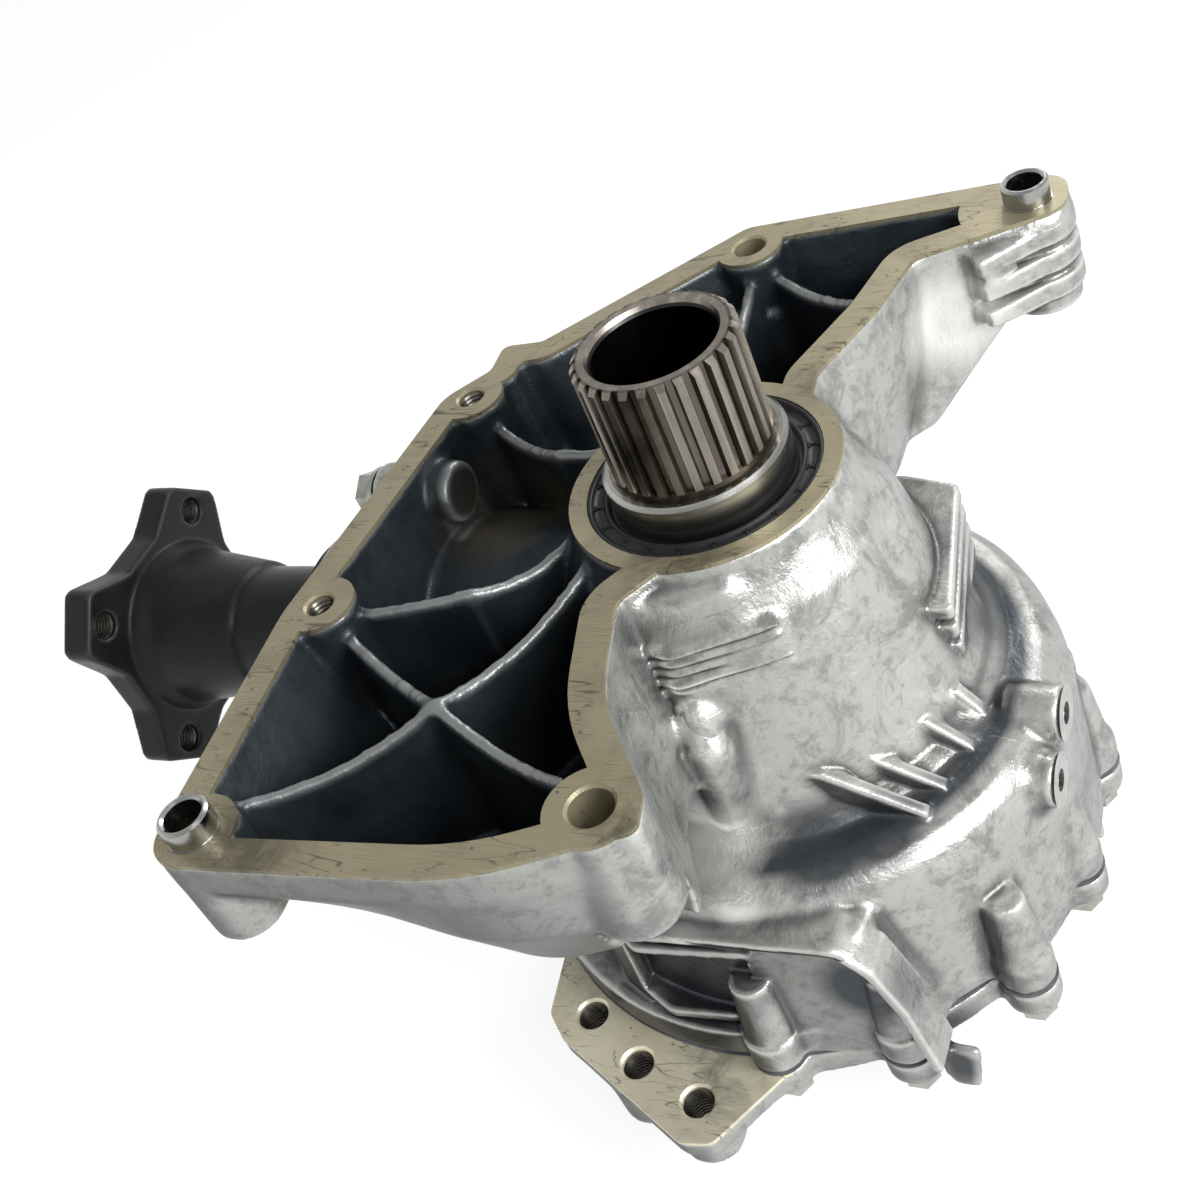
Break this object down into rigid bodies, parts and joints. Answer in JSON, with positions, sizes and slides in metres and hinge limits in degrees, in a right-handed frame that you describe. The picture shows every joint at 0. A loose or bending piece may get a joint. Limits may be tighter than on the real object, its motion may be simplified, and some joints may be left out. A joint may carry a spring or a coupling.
{
  "type": "transfer case",
  "caption": "Cast transfer case with a hollow splined input shaft, a bevel gear pair and a flanged output at right angles to it.",
  "frame": {"origin": "on the axis of the hollow input shaft, in the machined face that bolts to the gearbox", "axes": "+Z along the input shaft towards the gearbox; -X along the drive pinion towards the propeller shaft; +Y completes a right-handed frame"},
  "size_m": [0.3501, 0.2951, 0.2354],
  "materials": {
    "cast_aluminium": "cast, mottled",
    "cover_aluminium": "cast, mottled",
    "shaft_steel": "dark, oiled",
    "gear_steel": "ground",
    "bright_steel": "machined",
    "zinc_steel": "zinc plated",
    "black_flange": "black, satin",
    "seal_rubber": "matt",
    "gasket_grey": "matt",
    "washer_metal": "soft"
  },
  "bodies": {
    "housing": {"main_housing": "cast_aluminium", "end_cover": "cover_aluminium", "cover_gasket": "gasket_grey", "cover_bolts": "zinc_steel", "dowel_sleeves": "bright_steel", "input_shaft_seal": "seal_rubber", "cover_seal": "seal_rubber", "pinion_seal": "seal_rubber", "side_plug": "zinc_steel", "side_plug_washer": "washer_metal", "drain_plug": "zinc_steel", "drain_washer": "washer_metal", "front_bearing_cup": "bright_steel", "rear_bearing_cup": "bright_steel", "pinion_head_bearing_cup": "bright_steel", "pinion_tail_bearing_cup": "bright_steel"},
    "input": {"input_shaft": "shaft_steel", "ring_gear": "gear_steel", "ring_gear_bolts": "gear_steel", "front_bearing_cone": "bright_steel", "rear_bearing_cone": "bright_steel"},
    "output": {"drive_pinion": "gear_steel", "pinion_depth_shim": "bright_steel", "pinion_spacer": "bright_steel", "output_flange": "black_flange", "flange_nut": "zinc_steel", "flange_washer": "zinc_steel", "dust_shield": "black_flange", "pinion_head_bearing_cone": "bright_steel", "pinion_tail_bearing_cone": "bright_steel"},
    "front_rollers": {"front_bearing_rollers": "bright_steel", "front_bearing_cage": "bright_steel"},
    "rear_rollers": {"rear_bearing_rollers": "bright_steel", "rear_bearing_cage": "bright_steel"},
    "pinion_head_rollers": {"pinion_head_bearing_rollers": "bright_steel", "pinion_head_bearing_cage": "bright_steel"},
    "pinion_tail_rollers": {"pinion_tail_bearing_rollers": "bright_steel", "pinion_tail_bearing_cage": "bright_steel"}
  },
  "joints": [
    {"name": "input_spin", "type": "hinge", "parent": "housing", "child": "input", "pos_m": [0, 0, 0], "axis": [0, 0, 1], "continuous": true},
    {"name": "output_spin", "type": "hinge", "parent": "housing", "child": "output", "pos_m": [0, 0, -0.0686], "axis": [1, 0, 0], "continuous": true},
    {"name": "front_rollers_spin", "type": "hinge", "parent": "housing", "child": "front_rollers", "pos_m": [0, 0, 0], "axis": [0, 0, 1], "continuous": true},
    {"name": "rear_rollers_spin", "type": "hinge", "parent": "housing", "child": "rear_rollers", "pos_m": [0, 0, 0], "axis": [0, 0, 1], "continuous": true},
    {"name": "pinion_head_rollers_spin", "type": "hinge", "parent": "housing", "child": "pinion_head_rollers", "pos_m": [0, 0, -0.0686], "axis": [1, 0, 0], "continuous": true},
    {"name": "pinion_tail_rollers_spin", "type": "hinge", "parent": "housing", "child": "pinion_tail_rollers", "pos_m": [0, 0, -0.0686], "axis": [1, 0, 0], "continuous": true}
  ],
  "couplings": [
    {"joint": "output_spin", "follows": "input_spin", "ratio": -2.6154},
    {"joint": "front_rollers_spin", "follows": "input_spin", "ratio": 0.45669},
    {"joint": "rear_rollers_spin", "follows": "input_spin", "ratio": 0.45651},
    {"joint": "pinion_head_rollers_spin", "follows": "input_spin", "ratio": -1.1359},
    {"joint": "pinion_tail_rollers_spin", "follows": "input_spin", "ratio": -1.1316}
  ]
}
